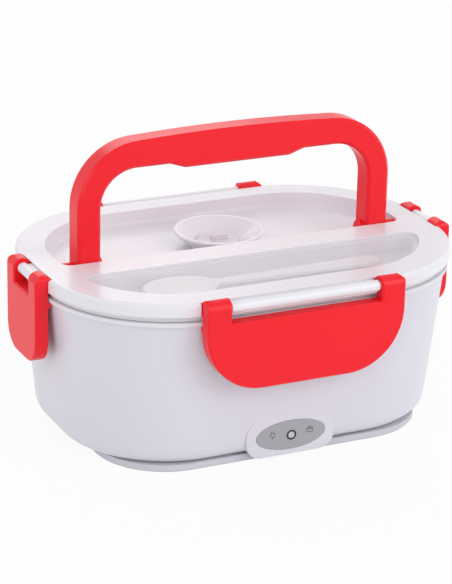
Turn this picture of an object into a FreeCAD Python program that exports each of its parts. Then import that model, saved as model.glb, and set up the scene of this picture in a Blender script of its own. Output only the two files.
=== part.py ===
import FreeCAD, Part
import math
import os
import types
import Sketcher

# Portable electric food warmer. One object for each physical piece, all in one frame:
# the middle of the underside is the origin, X runs along the box, the front faces -Y.

os.makedirs("parts", exist_ok=True)
doc = FreeCAD.newDocument("food_warmer")

# Driving sizes in millimetres, angles in degrees, counts and shares plain.
driving_sizes = [
    ("lid_length", 235), ("lid_width", 167), ("lid_end_flat", 13.5),
    ("plinth_height", 4), ("plinth_inset", 12), ("plinth_gap", 0.4), ("plinth_corner", 40),
    ("plinth_ring", 6), ("plinth_hollow", 1.5), ("plinth_edge", 0.8),
    ("shell_height", 82), ("shell_inset", 2.5), ("shell_wall", 2.2), ("wall_slope", 6), ("shell_round", 9),
    ("opening_lip", 9.5), ("opening_fit", 0.4), ("rib_height", 3), ("rib_wall", 2),
    ("pad_half", 26), ("pad_drop", 2), ("pad_rise", 20), ("pad_corner", 9), ("pad_thick", 4.1),
    ("oval_length", 41), ("oval_height", 16.5), ("oval_rise", 9.2), ("oval_fit", 0.15),
    ("oval_sink", 0.9), ("oval_thick", 1.2), ("oval_edge", 0.25),
    ("lens_radius", 2.3), ("lens_ring", 3.1), ("lens_hole", 2.5), ("lens_long", 4), ("lens_proud", 0.45),
    ("board_half", 15), ("board_half_high", 6.2), ("board_thick", 1.6), ("board_gap", 8.5),
    ("board_peg", 2), ("board_peg_at", 11), ("board_peg_sink", 3),
    ("diode_radius", 2), ("diode_long", 3.6), ("resistor_half", 3.2), ("resistor_wide", 1.6),
    ("resistor_thick", 1.4), ("resistor_at", 6.5),
    ("inlet_rise", 10.2), ("inlet_half", 12), ("inlet_half_high", 6), ("inlet_corner", 2),
    ("inlet_brim", 1.6), ("inlet_brim_thick", 1.6), ("inlet_deep", 17), ("inlet_fit", 0.15),
    ("mouth_half", 8.4), ("mouth_radius", 4.1), ("mouth_deep", 12),
    ("prong_at", 4.3), ("prong_radius", 1.2), ("prong_long", 9.5), ("prong_tail", 6),
    ("liner_flange", 2), ("liner_flange_inset", 0.8), ("liner_inset", 9.5), ("liner_wall", 2),
    ("liner_rise", 19), ("liner_floor_thick", 2), ("liner_round", 8),
    ("window_length", 109), ("window_width", 69), ("window_corner", 24), ("window_fit", 0.2),
    ("post_radius", 4), ("post_inset", 11), ("post_inset_along", 26.5), ("post_bore", 1.5),
    ("bracket_post_gap", 11.5),
    ("plate_flange", 6), ("plate_drop", 2.5), ("seal_thick", 0.6),
    ("element_half", 32), ("element_half_wide", 12), ("element_high", 6), ("element_tab", 7),
    ("element_tab_half", 2.4), ("element_tab_thick", 0.8), ("element_edge", 1),
    ("bracket_thick", 1.2), ("bracket_half_wide", 8), ("bracket_end", 5),
    ("screw_head", 2.8), ("screw_head_high", 1.6), ("screw_shank", 1.45), ("screw_long", 11),
    ("screw_seat", 1), ("screw_slot", 0.4), ("screw_slot_deep", 0.8), ("screw_slot_half", 1.7),
    ("screw_head_fit", 0.35), ("screw_hole_fit", 0.25),
    ("cutout_inset", 12.5), ("cutout_inset_along", 16.5), ("cutout_radius", 8), ("cutout_high", 5),
    ("cutout_tab_half", 2.2), ("cutout_tab_long", 6), ("cutout_tab_thick", 0.8), ("cutout_tab_at", 4),
    ("fuse_radius", 2.1), ("fuse_long", 16), ("fuse_lead", 0.6), ("fuse_lead_long", 9),
    ("tray_flange", 1.5), ("tray_flange_inset", 5.5), ("tray_inset", 10.3), ("tray_wall", 1.5),
    ("tray_round", 12), ("tray_lip_round", 0.6),
    ("skirt_gap", 3.5), ("lid_thick", 7), ("lid_plate", 2.4), ("lid_round", 1.6),
    ("skirt_wall", 2.6), ("seat_outer", 4.2), ("groove_outer", 5.9), ("groove_inner", 10.5),
    ("seat_inner", 12.2), ("groove_deep", 1.8), ("seal_gap", 0.3), ("seal_fit", 0.4), ("seal_round", 0.7),
    ("recess_inset", 16), ("recess_front_corner", 6), ("recess_deep", 8.5),
    ("recess_slope", 8), ("recess_round", 3), ("tub_wall", 2.2),
    ("leg_gap_in", 4), ("leg_gap_out", 6.2), ("leg_gap_rear", 5), ("leg_gap_front", 0.7),
    ("leg_pocket_fit", 0.4), ("leg_pocket_deep", 3.8), ("leg_pocket_wall", 1.8),
    ("well_inset", 17), ("well_rear", -22.5), ("well_rear_corner", 7), ("well_deep", 10),
    ("ledge_deep", 1.9), ("ledge_wide", 3), ("cover_thick", 1.4), ("cover_fit", 0.35), ("cover_gap", 0.3),
    ("cover_round", 0.4),
    ("dish_centre", 19.5), ("dish_radius", 23.4), ("dish_rim", 1.6), ("dish_floor_radius", 12.6),
    ("dish_rise", 1.5), ("dish_proud", 0.3), ("dish_lip", 1.2), ("dish_rim_round", 0.25),
    ("vent_radius", 3), ("vent_fit", 0.05),
    ("plug_radius", 11.8), ("plug_thick", 1.6), ("plug_gap", 0.3), ("plug_stem", 4.5),
    ("plug_grip_half", 5), ("plug_grip_wide", 1.1), ("plug_grip_high", 2.4), ("plug_round", 0.6),
    ("pivot_along", 3), ("pivot_drop", 4.5), ("handle_gap", 8.2), ("handle_leg", 13.3),
    ("handle_deep", 14), ("handle_rise", 63.9), ("handle_corner", 36), ("handle_arch_radius", 1000),
    ("handle_edge", 1.6), ("handle_grip", 14.9), ("handle_inside_corner", 21),
    ("belly_half", 40), ("belly_deep", 3), ("belly_run", 9),
    ("stub_radius", 3.2), ("stub_short", 0.3), ("stub_fit", 0.06), ("hub_radius", 5.2),
    ("hub_thick", 1.6), ("hub_boss", 4.4),
    ("rod_radius", 3), ("rod_out", 1.8), ("rod_drop", 3), ("pin_radius", 2.2), ("pin_fit", 0.06),
    ("pin_long", 8.2), ("pin_bore", 9), ("side_pin_long", 6.2), ("side_pin_bore", 7),
    ("ear_radius", 5), ("ear_fit", 0.4), ("ear_side_fit", 0.5), ("ear_gap", 1.1),
    ("ear_wide", 14.6), ("side_ear_wide", 11.5),
    ("latch_half", 57.2), ("side_latch_half", 21), ("latch_run", 0.8), ("side_latch_corner", 14),
    ("latch_long", 45.5), ("latch_edge_drop", 7.5), ("latch_plate", 2.6), ("latch_wall", 2.2),
    ("latch_ear_corner", 3.5), ("latch_face_edge", 0.8), ("latch_clear", 0.4), ("hook_gap", 0.3),
    ("hook_thick", 2.4), ("hook_catch", 1.1), ("latch_spare", 2),
    ("spoon_inset_left", 45.5), ("spoon_inset_right", 50.5), ("spoon_inset_front", 41), ("spoon_gap", 0.4),
    ("bowl_long", 21), ("bowl_wide", 15), ("bowl_deep", 4.6), ("bowl_wall", 1.2),
    ("spoon_neck", 3.2), ("spoon_end", 6.2), ("spoon_thick", 1.6),
]

sheet = doc.addObject("Spreadsheet::Sheet", "sizes")
for row, (alias, number) in enumerate(driving_sizes, start=1):
    sheet.set(f"A{row}", alias)
    sheet.set(f"B{row}", str(number))
    sheet.setAlias(f"B{row}", alias)
doc.recompute()


class Size:
    """A length that carries both its number and the sheet expression behind it."""

    def __init__(self, number, text):
        self.number = number
        self.text = text

    def __add__(self, other):
        return Size(self.number + other.number, f"({self.text} + {other.text})")

    def __sub__(self, other):
        return Size(self.number - other.number, f"({self.text} - {other.text})")

    def __neg__(self):
        return Size(-self.number, f"(-1 * {self.text})")

    def __mul__(self, factor):
        return Size(self.number * factor, f"({self.text} * {factor})")

    def __truediv__(self, factor):
        return Size(self.number / factor, f"({self.text} / {factor})")

    def lean(self, slope):
        """How far a wall that leans by a slope runs sideways over this height."""
        number = self.number * math.tan(math.radians(slope.number))
        return Size(number, f"({self.text} * tan({slope.text} * 1 deg))")

    def leg(self, other):
        """The other short side of a right triangle that has self as its long side."""
        number = math.sqrt(self.number ** 2 - other.number ** 2)
        return Size(number, f"sqrt(({self.text}) ^ 2 - ({other.text}) ^ 2)")


size = types.SimpleNamespace(**{alias: Size(number, f"sizes.{alias}") for alias, number in driving_sizes})
zero = size.lid_length - size.lid_length

# Half sizes and heights of the housing.
lid_half = size.lid_length / 2
lid_half_wide = size.lid_width / 2
lid_corner = lid_half_wide - size.lid_end_flat
shell_top = size.plinth_height + size.shell_height
flange_top = shell_top + size.liner_flange
tray_top = flange_top + size.tray_flange
liner_floor = size.plinth_height + size.liner_rise
liner_top = liner_floor + size.liner_floor_thick
plate_under = liner_floor - size.plate_drop
element_low = plate_under - size.element_high
cutout_across = size.window_length / 2 - size.cutout_inset
cutout_along = size.window_width / 2 - size.cutout_inset_along

# Flat pads low in the sloping wall, and what sits in them.
pad_low = size.plinth_height - size.pad_drop
pad_high = size.plinth_height + size.pad_rise
pad_face = lid_half_wide - size.shell_inset - (shell_top - pad_high).lean(size.wall_slope)
pad_back = pad_face - size.pad_thick
board_face = pad_face - size.board_gap
oval_centre = size.plinth_height + size.oval_rise
inlet_centre = size.plinth_height + size.inlet_rise

# Plinth, the opening above it and the screw posts.
plinth_half = lid_half - size.shell_inset - size.shell_height.lean(size.wall_slope) - size.plinth_inset
plinth_half_wide = pad_back - size.plinth_gap
post_across = plinth_half - size.opening_lip - size.post_inset
post_along = plinth_half_wide - size.opening_lip - size.post_inset_along
bracket_post_across = size.window_length / 2 + size.plate_flange + size.bracket_post_gap

# Levels of the lid, all reckoned up from the liner's flange.
skirt_low = flange_top + size.skirt_gap
lid_top = skirt_low + size.lid_thick
lid_under = lid_top - size.lid_plate
groove_roof = skirt_low + size.groove_deep
seal_low = tray_top + size.seal_gap
recess_floor = lid_top - size.recess_deep
leg_pocket_floor = recess_floor - size.leg_pocket_deep
well_floor = lid_top - size.well_deep
dish_floor = recess_floor + size.dish_rise
dish_top = lid_top + size.dish_proud

# Handle and the recess that it folds into.
recess_half = lid_half - size.recess_inset
recess_rear = lid_half_wide - size.recess_inset
recess_corner = lid_corner - size.recess_inset
recess_front = size.pivot_along - size.handle_deep / 2 - size.leg_gap_front
pivot_high = lid_top - size.pivot_drop
handle_half = recess_half - size.handle_gap
inner_half = handle_half - size.handle_leg
handle_top = lid_top + size.handle_rise
handle_under = handle_top - size.handle_grip
leg_pocket_in = inner_half - size.leg_gap_in
leg_pocket_out = handle_half + size.leg_gap_out
leg_pocket_rear = size.pivot_along + size.handle_deep / 2 + size.leg_gap_rear
stub_tip = recess_half + size.tub_wall - size.stub_short

# Latch rods, and how far the latches reach in towards the flange and under it.
rod_high = lid_top - size.rod_drop
rod_along = lid_half_wide + size.rod_out
rod_across = lid_half + size.rod_out
rod_half = size.latch_half - size.ear_wide
side_rod_half = size.side_latch_half - size.side_ear_wide
ear_inner = rod_half + size.ear_gap
side_ear_inner = side_rod_half + size.ear_gap
latch_back = size.rod_out + size.liner_flange_inset - size.latch_clear
hook_reach = size.rod_out + size.liner_flange_inset + size.hook_catch
hook_top = shell_top - size.hook_gap - rod_high
hook_low = hook_top - size.hook_thick
latch_corner = hook_low + size.latch_long - size.latch_run

# Spoon, set in the front well.
spoon_left = size.spoon_inset_left - lid_half
spoon_right = lid_half - size.spoon_inset_right
spoon_along = size.spoon_inset_front - lid_half_wide
spoon_low = well_floor + size.spoon_gap


def bind(thing, path, length):
    thing.setExpression(path, length.text)


def new_body(name):
    return doc.addObject("PartDesign::Body", name)


def new_sketch(body, name, role, offset):
    sketch = body.newObject("Sketcher::SketchObject", name)
    plane = next(feature for feature in body.Origin.OriginFeatures if feature.Role == role)
    sketch.AttachmentSupport = [(plane, "")]
    sketch.MapMode = "FlatFace"
    bind(sketch, "AttachmentOffset.Base.z", offset)
    return sketch


def pin_down(sketch, axis, length, geometry, point):
    """Hold one coordinate of a sketch point at a length from the origin."""
    if length.number < 0:
        parts = (geometry, point, -1, 1)
        length = -length
    else:
        parts = (-1, 1, geometry, point)
    index = sketch.addConstraint(Sketcher.Constraint("Distance" + axis, *parts, length.number))
    sketch.setExpression(f"Constraints[{index}]", length.text)


def trace(sketch, points):
    """Closed outline through points. A point is (x, y), or (x, y, radius, side) when the way on
    from it is an arc that turns to that side."""
    ends = []
    for here, there in zip(points, points[1:] + points[:1]):
        start = FreeCAD.Vector(here[0].number, here[1].number, 0)
        stop = FreeCAD.Vector(there[0].number, there[1].number, 0)
        if len(here) == 2:
            piece = sketch.addGeometry(Part.LineSegment(start, stop))
            ends.append((piece, 1, 2))
            continue
        radius = here[2].number
        middle = (start + stop) * 0.5
        chord = stop - start
        rise = math.sqrt(max(radius ** 2 - (chord.Length / 2) ** 2, 0))
        normal = FreeCAD.Vector(-chord.y, chord.x, 0).normalize()
        turn = 1 if here[3] == "left" else -1
        centre = middle + normal * (rise * turn)
        first, last = (start, stop) if turn == 1 else (stop, start)
        first_angle = math.atan2(first.y - centre.y, first.x - centre.x)
        last_angle = math.atan2(last.y - centre.y, last.x - centre.x)
        circle = Part.Circle(centre, FreeCAD.Vector(0, 0, 1), radius)
        piece = sketch.addGeometry(Part.ArcOfCircle(circle, first_angle, last_angle))
        ends.append((piece, 1, 2) if turn == 1 else (piece, 2, 1))
        index = sketch.addConstraint(Sketcher.Constraint("Radius", piece, radius))
        sketch.setExpression(f"Constraints[{index}]", here[2].text)
    for (piece, first, last), following in zip(ends, ends[1:] + ends[:1]):
        sketch.addConstraint(Sketcher.Constraint("Coincident", piece, last, following[0], following[1]))
    for (piece, first, last), point in zip(ends, points):
        pin_down(sketch, "X", point[0], piece, first)
        pin_down(sketch, "Y", point[1], piece, first)


def rounded(sketch, left, right, low, high, low_radius, high_radius=None):
    top_radius = high_radius or low_radius
    trace(sketch, [
        (left + low_radius, low),
        (right - low_radius, low, low_radius, "left"),
        (right, low + low_radius),
        (right, high - top_radius, top_radius, "left"),
        (right - top_radius, high),
        (left + top_radius, high, top_radius, "left"),
        (left, high - top_radius),
        (left, low + low_radius, low_radius, "left"),
    ])


def box(sketch, left, right, low, high):
    trace(sketch, [(left, low), (right, low), (right, high), (left, high)])


def circle(sketch, across, up, radius):
    centre = FreeCAD.Vector(across.number, up.number, 0)
    piece = sketch.addGeometry(Part.Circle(centre, FreeCAD.Vector(0, 0, 1), radius.number))
    index = sketch.addConstraint(Sketcher.Constraint("Radius", piece, radius.number))
    sketch.setExpression(f"Constraints[{index}]", radius.text)
    pin_down(sketch, "X", across, piece, 3)
    pin_down(sketch, "Y", up, piece, 3)


def oval(sketch, up, half_long, half_high):
    centre = FreeCAD.Vector(0, up.number, 0)
    piece = sketch.addGeometry(Part.Ellipse(centre, half_long.number, half_high.number))
    sketch.exposeInternalGeometry(piece)
    sketch.addConstraint(Sketcher.Constraint("PointOnObject", piece, 3, -2))
    pin_down(sketch, "Y", up, piece, 3)
    sketch.addConstraint(Sketcher.Constraint("Horizontal", piece + 1))
    for axis, half in ((piece + 1, half_long), (piece + 2, half_high)):
        index = sketch.addConstraint(Sketcher.Constraint("Distance", axis, 2 * half.number))
        sketch.setExpression(f"Constraints[{index}]", (half * 2).text)


def lid_outline(sketch, inset):
    """The lid's outline seen from above, drawn in by an inset."""
    rounded(sketch, inset - lid_half, lid_half - inset, inset - lid_half_wide, lid_half_wide - inset,
            lid_corner - inset)


def plinth_outline(sketch, inset):
    """The plinth's outline seen from above, drawn in by an inset."""
    rounded(sketch, inset - plinth_half, plinth_half - inset, inset - plinth_half_wide,
            plinth_half_wide - inset, size.plinth_corner - inset)


def centred(sketch, length, width, corner):
    rounded(sketch, -length / 2, length / 2, -width / 2, width / 2, corner)


def pad(body, sketch, length, slope=None, back=False):
    """Grow a sketch along its plane's normal: +Z, -Y or +X; the other way when back is set."""
    feature = body.newObject("PartDesign::Pad", sketch.Name + "_pad")
    feature.Profile = sketch
    bind(feature, "Length", length)
    feature.Reversed = back
    if slope is not None:
        bind(feature, "TaperAngle", slope)
    doc.recompute()
    return feature


def pocket(body, sketch, depth, slope=None, back=False):
    """Cut a sketch against its plane's normal: -Z, +Y or -X; the other way when back is set."""
    before = body.Tip.Shape.Volume
    feature = body.newObject("PartDesign::Pocket", sketch.Name + "_cut")
    feature.Profile = sketch
    bind(feature, "Length", depth)
    feature.Reversed = back
    if slope is not None:
        bind(feature, "TaperAngle", slope)
    doc.recompute()
    if not feature.Shape.Volume < before:
        raise ValueError(sketch.Name + " cuts nothing")
    return feature


def dress(body, kind, name, length, wanted):
    """Fillet or chamfer every edge of the body that the test wants."""
    tip = body.Tip
    chosen = [f"Edge{number}" for number, edge in enumerate(tip.Shape.Edges, start=1) if wanted(edge)]
    if not chosen:
        raise ValueError(name + " finds no edge")
    feature = body.newObject("PartDesign::" + kind, name)
    feature.Base = (tip, chosen)
    bind(feature, "Radius" if kind == "Fillet" else "Size", length)
    doc.recompute()
    return feature


def level_with(height):
    """Test for edges that lie flat at a height."""
    def wanted(edge):
        bounds = edge.BoundBox
        return abs(bounds.ZMin - height.number) < 1e-4 and abs(bounds.ZMax - height.number) < 1e-4
    return wanted


def flush_with(distance):
    """Test for edges that lie in a plane of constant Y."""
    def wanted(edge):
        bounds = edge.BoundBox
        return abs(bounds.YMin - distance.number) < 1e-4 and abs(bounds.YMax - distance.number) < 1e-4
    return wanted


both_ways = (1, -1)


def mirrored(distance):
    return [distance * way for way in both_ways]


corners = [(across, along) for across in both_ways for along in both_ways]

# Outer shell: the tapered white housing, open at the top and underneath.
shell = new_body("outer_shell")
sketch = new_sketch(shell, "shell_outline", "XY_Plane", shell_top)
lid_outline(sketch, size.shell_inset)
pad(shell, sketch, size.shell_height, -size.wall_slope, back=True)
sketch = new_sketch(shell, "shell_hollow", "XY_Plane", shell_top)
lid_outline(sketch, size.shell_inset + size.shell_wall)
pocket(shell, sketch, size.shell_height - size.shell_wall, -size.wall_slope)
dress(shell, "Fillet", "shell_inside_round", size.shell_round - size.shell_wall,
      level_with(size.plinth_height + size.shell_wall))
dress(shell, "Fillet", "shell_bottom_round", size.shell_round, level_with(size.plinth_height))
for way, name in ((1, "front_pad"), (-1, "rear_pad")):
    sketch = new_sketch(shell, name, "XZ_Plane", pad_back * way)
    rounded(sketch, -size.pad_half, size.pad_half, pad_low, pad_high, size.pad_corner)
    pad(shell, sketch, pad_face - pad_back, back=way < 0)
sketch = new_sketch(shell, "board_pegs", "XZ_Plane", board_face)
for across in mirrored(size.board_peg_at):
    circle(sketch, across, oval_centre, size.board_peg)
pad(shell, sketch, size.board_gap - size.board_peg_sink)
sketch = new_sketch(shell, "oval_seat", "XZ_Plane", pad_face)
oval(sketch, oval_centre, size.oval_length / 2 + size.oval_fit, size.oval_height / 2 + size.oval_fit)
pocket(shell, sketch, size.oval_sink)
sketch = new_sketch(shell, "lens_hole_outline", "XZ_Plane", pad_face)
circle(sketch, zero, oval_centre, size.lens_hole)
pocket(shell, sketch, pad_face - board_face)
sketch = new_sketch(shell, "inlet_cutout", "XZ_Plane", -pad_face)
rounded(sketch, -size.inlet_half - size.inlet_fit, size.inlet_half + size.inlet_fit,
        inlet_centre - size.inlet_half_high - size.inlet_fit,
        inlet_centre + size.inlet_half_high + size.inlet_fit, size.inlet_corner)
pocket(shell, sketch, pad_face - board_face, back=True)
sketch = new_sketch(shell, "bottom_opening", "XY_Plane", zero)
plinth_outline(sketch, size.opening_lip)
pocket(shell, sketch, size.plinth_height + size.shell_round, back=True)

# Bottom cover: the plinth the box stands on, with a ring to rest on and a rib to find its place.
cover = new_body("bottom_cover")
sketch = new_sketch(cover, "plinth_outline", "XY_Plane", zero)
plinth_outline(sketch, zero)
pad(cover, sketch, size.plinth_height)
dress(cover, "Chamfer", "plinth_edge_chamfer", size.plinth_edge, level_with(zero))
sketch = new_sketch(cover, "plinth_hollow_outline", "XY_Plane", zero)
plinth_outline(sketch, size.plinth_ring)
pocket(cover, sketch, size.plinth_hollow, back=True)
sketch = new_sketch(cover, "locating_rib", "XY_Plane", size.plinth_height)
for inset in (size.opening_fit, size.opening_fit + size.rib_wall):
    plinth_outline(sketch, size.opening_lip + inset)
pad(cover, sketch, size.rib_height)
for name, radius, depth in (("screw_seats", size.screw_head + size.screw_head_fit, size.screw_seat),
                            ("screw_holes", size.screw_shank + size.screw_hole_fit, size.plinth_height)):
    sketch = new_sketch(cover, name, "XY_Plane", size.plinth_hollow)
    for across, along in corners:
        circle(sketch, post_across * across, post_along * along, radius)
    pocket(cover, sketch, depth, back=True)


def add_screws(name, places, head_top):
    """Pan-head screws driven upwards: heads with crossed slots below head_top, shanks above."""
    screws = new_body(name)
    head_low = head_top - size.screw_head_high
    head = new_sketch(screws, name + "_heads", "XY_Plane", head_low)
    shank = new_sketch(screws, name + "_shanks", "XY_Plane", head_top)
    for across, along in places:
        circle(head, across, along, size.screw_head)
        circle(shank, across, along, size.screw_shank)
    pad(screws, head, size.screw_head_high)
    pad(screws, shank, size.screw_long)
    for turn in ("slots", "cross_slots"):
        slots = new_sketch(screws, name + "_" + turn, "XY_Plane", head_low)
        long_half, wide_half = size.screw_slot_half, size.screw_slot
        if turn == "cross_slots":
            long_half, wide_half = wide_half, long_half
        for across, along in places:
            box(slots, across - long_half, across + long_half, along - wide_half, along + wide_half)
        pocket(screws, slots, size.screw_slot_deep, back=True)


add_screws("cover_screws", [(post_across * across, post_along * along) for across, along in corners],
           size.plinth_hollow + size.screw_seat)

# Inner liner: the tub that hangs in the shell, its flange closing the rim and catching the hooks.
liner = new_body("inner_liner")
sketch = new_sketch(liner, "liner_flange_outline", "XY_Plane", shell_top)
lid_outline(sketch, size.liner_flange_inset)
pad(liner, sketch, size.liner_flange)
sketch = new_sketch(liner, "liner_tub", "XY_Plane", flange_top)
lid_outline(sketch, size.liner_inset - size.liner_wall)
pad(liner, sketch, flange_top - liner_floor, -size.wall_slope, back=True)
sketch = new_sketch(liner, "liner_hollow", "XY_Plane", flange_top)
lid_outline(sketch, size.liner_inset)
pocket(liner, sketch, flange_top - liner_top, -size.wall_slope)
dress(liner, "Fillet", "liner_inside_round", size.liner_round, level_with(liner_top))
dress(liner, "Fillet", "liner_outside_round", size.liner_round + size.liner_wall,
      level_with(liner_floor))
for name, places, end in (
    ("cover_posts", [(post_across * across, post_along * along) for across, along in corners],
     size.plinth_height),
    ("bracket_posts", [(bracket_post_across * way, zero) for way in both_ways], element_low),
):
    for part, radius in (("", size.post_radius), ("_bores", size.post_bore)):
        sketch = new_sketch(liner, name + part, "XY_Plane", end)
        for across, along in places:
            circle(sketch, across, along, radius)
        if part == "":
            pad(liner, sketch, liner_top - size.liner_floor_thick / 2 - end)
        else:
            pocket(liner, sketch, liner_floor - end - size.liner_floor_thick / 2, back=True)
sketch = new_sketch(liner, "liner_window", "XY_Plane", liner_top)
centred(sketch, size.window_length, size.window_width, size.window_corner)
pocket(liner, sketch, size.liner_floor_thick)

# Heating plate: a cast plate flush with the liner floor, its flange sealed against the underside.
plate = new_body("heating_plate")
sketch = new_sketch(plate, "plate_top", "XY_Plane", plate_under)
centred(sketch, size.window_length - size.window_fit * 2, size.window_width - size.window_fit * 2,
        size.window_corner - size.window_fit)
pad(plate, sketch, liner_top - plate_under)
sketch = new_sketch(plate, "plate_flange_outline", "XY_Plane", plate_under)
centred(sketch, size.window_length + size.plate_flange * 2, size.window_width + size.plate_flange * 2,
        size.window_corner + size.plate_flange)
pad(plate, sketch, size.plate_drop - size.seal_thick)

seal = new_body("plate_seal")
sketch = new_sketch(seal, "plate_seal_ring", "XY_Plane", liner_floor - size.seal_thick)
for reach in (size.plate_flange, zero):
    centred(sketch, size.window_length + reach * 2, size.window_width + reach * 2,
            size.window_corner + reach)
pad(seal, sketch, size.seal_thick)

# Heater: a flat element pressed up against the plate by a sprung strap on two posts.
element = new_body("heater_element")
sketch = new_sketch(element, "element_block", "XY_Plane", element_low)
rounded(sketch, -size.element_half, size.element_half, -size.element_half_wide, size.element_half_wide,
        size.element_edge)
pad(element, sketch, size.element_high)
sketch = new_sketch(element, "element_tabs", "XY_Plane", element_low + size.element_high / 2)
for way in both_ways:
    near = size.element_half - size.element_edge
    far = size.element_half + size.element_tab
    left, right = (near, far) if way > 0 else (-far, -near)
    box(sketch, left, right, -size.element_tab_half, size.element_tab_half)
pad(element, sketch, size.element_tab_thick)

bracket = new_body("heater_bracket")
strap_low = element_low - size.bracket_thick
strap_half = bracket_post_across + size.bracket_end
sketch = new_sketch(bracket, "strap_outline", "XY_Plane", strap_low)
rounded(sketch, -strap_half, strap_half, -size.bracket_half_wide, size.bracket_half_wide, size.bracket_end)
pad(bracket, sketch, size.bracket_thick)
sketch = new_sketch(bracket, "strap_holes", "XY_Plane", strap_low)
for across in mirrored(bracket_post_across):
    circle(sketch, across, zero, size.screw_shank + size.screw_hole_fit)
pocket(bracket, sketch, size.bracket_thick, back=True)

# Bracket screws are the short kind, so they stop inside their posts.
bracket_screws = new_body("bracket_screws")
for name, radius, low, length in (
    ("bracket_heads", size.screw_head, strap_low - size.screw_head_high, size.screw_head_high),
    ("bracket_shanks", size.screw_shank, strap_low, size.bracket_thick + size.liner_floor_thick * 3),
):
    sketch = new_sketch(bracket_screws, name, "XY_Plane", low)
    for across in mirrored(bracket_post_across):
        circle(sketch, across, zero, radius)
    pad(bracket_screws, sketch, length)
sketch = new_sketch(bracket_screws, "bracket_slots", "XY_Plane", strap_low - size.screw_head_high)
for across in mirrored(bracket_post_across):
    box(sketch, across - size.screw_slot_half, across + size.screw_slot_half, -size.screw_slot,
        size.screw_slot)
pocket(bracket_screws, sketch, size.screw_slot_deep, back=True)

# Thermostat and thermal fuse: both touch the plate from below, clear of the element.
thermostat = new_body("thermostat")
cutout_low = plate_under - size.cutout_high
sketch = new_sketch(thermostat, "cutout_can", "XY_Plane", cutout_low)
circle(sketch, cutout_across, cutout_along, size.cutout_radius)
pad(thermostat, sketch, size.cutout_high)
sketch = new_sketch(thermostat, "cutout_tabs", "XY_Plane", cutout_low)
for across in mirrored(size.cutout_tab_at):
    middle = cutout_across + across
    half_thick = size.cutout_tab_thick / 2
    box(sketch, middle - half_thick, middle + half_thick, cutout_along - size.cutout_tab_half,
        cutout_along + size.cutout_tab_half)
pad(thermostat, sketch, size.cutout_tab_long, back=True)

fuse = new_body("thermal_fuse")
for name, radius, half in (("fuse_can", size.fuse_radius, size.fuse_long / 2),
                           ("fuse_leads", size.fuse_lead, size.fuse_long / 2 + size.fuse_lead_long)):
    sketch = new_sketch(fuse, name, "YZ_Plane", -cutout_across - half)
    circle(sketch, cutout_along, plate_under - size.fuse_radius, radius)
    pad(fuse, sketch, half * 2)

# Indicator: oval panel in the front pad, lens through it, lamp board on two pegs behind.
panel = new_body("indicator_panel")
panel_back = pad_face - size.oval_sink
sketch = new_sketch(panel, "panel_outline", "XZ_Plane", panel_back)
oval(sketch, oval_centre, size.oval_length / 2, size.oval_height / 2)
pad(panel, sketch, size.oval_thick)
dress(panel, "Chamfer", "panel_edge", size.oval_edge, flush_with(-panel_back - size.oval_thick))
sketch = new_sketch(panel, "panel_hole", "XZ_Plane", panel_back + size.oval_thick)
circle(sketch, zero, oval_centre, size.lens_hole)
pocket(panel, sketch, size.oval_thick)

lens = new_body("led_lens")
lens_front = panel_back + size.oval_thick + size.lens_proud
sketch = new_sketch(lens, "lens_barrel", "XZ_Plane", lens_front)
circle(sketch, zero, oval_centre, size.lens_radius)
pad(lens, sketch, size.lens_long, back=True)
sketch = new_sketch(lens, "lens_brim_ring", "XZ_Plane", panel_back + size.oval_thick)
circle(sketch, zero, oval_centre, size.lens_ring)
pad(lens, sketch, size.lens_proud)

board = new_body("led_board")
sketch = new_sketch(board, "board_outline", "XZ_Plane", board_face - size.board_thick)
box(sketch, -size.board_half, size.board_half, oval_centre - size.board_half_high,
    oval_centre + size.board_half_high)
pad(board, sketch, size.board_thick)
sketch = new_sketch(board, "diode", "XZ_Plane", board_face)
circle(sketch, zero, oval_centre, size.diode_radius)
pad(board, sketch, size.diode_long)
sketch = new_sketch(board, "resistor", "XZ_Plane", board_face - size.board_thick)
box(sketch, size.resistor_at - size.resistor_half, size.resistor_at + size.resistor_half,
    oval_centre - size.resistor_wide, oval_centre + size.resistor_wide)
pad(board, sketch, size.resistor_thick, back=True)

# Power inlet: a two-pin appliance socket through the rear pad.
inlet = new_body("inlet_socket")
inlet_low = inlet_centre - size.inlet_half_high
inlet_high = inlet_centre + size.inlet_half_high
sketch = new_sketch(inlet, "inlet_case", "XZ_Plane", -pad_face)
rounded(sketch, -size.inlet_half, size.inlet_half, inlet_low, inlet_high, size.inlet_corner)
pad(inlet, sketch, size.inlet_deep)
sketch = new_sketch(inlet, "inlet_brim_outline", "XZ_Plane", -pad_face)
rounded(sketch, -size.inlet_half - size.inlet_brim, size.inlet_half + size.inlet_brim,
        inlet_low - size.inlet_brim, inlet_high + size.inlet_brim, size.inlet_corner + size.inlet_brim)
pad(inlet, sketch, size.inlet_brim_thick, back=True)
inlet_face = pad_face + size.inlet_brim_thick
sketch = new_sketch(inlet, "inlet_mouth", "XZ_Plane", -inlet_face)
run = size.mouth_half - size.mouth_radius
trace(sketch, [
    (-run, inlet_centre - size.mouth_radius),
    (run, inlet_centre - size.mouth_radius, size.mouth_radius, "left"),
    (size.mouth_half, inlet_centre, size.mouth_radius, "left"),
    (run, inlet_centre + size.mouth_radius),
    (-run, inlet_centre + size.mouth_radius, size.mouth_radius, "left"),
    (-size.mouth_half, inlet_centre, size.mouth_radius, "left"),
])
pocket(inlet, sketch, size.mouth_deep, back=True)
sketch = new_sketch(inlet, "prong_holes", "XZ_Plane", -inlet_face)
for across in mirrored(size.prong_at):
    circle(sketch, across, inlet_centre, size.prong_radius)
pocket(inlet, sketch, size.inlet_deep + size.inlet_brim_thick, back=True)

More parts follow.
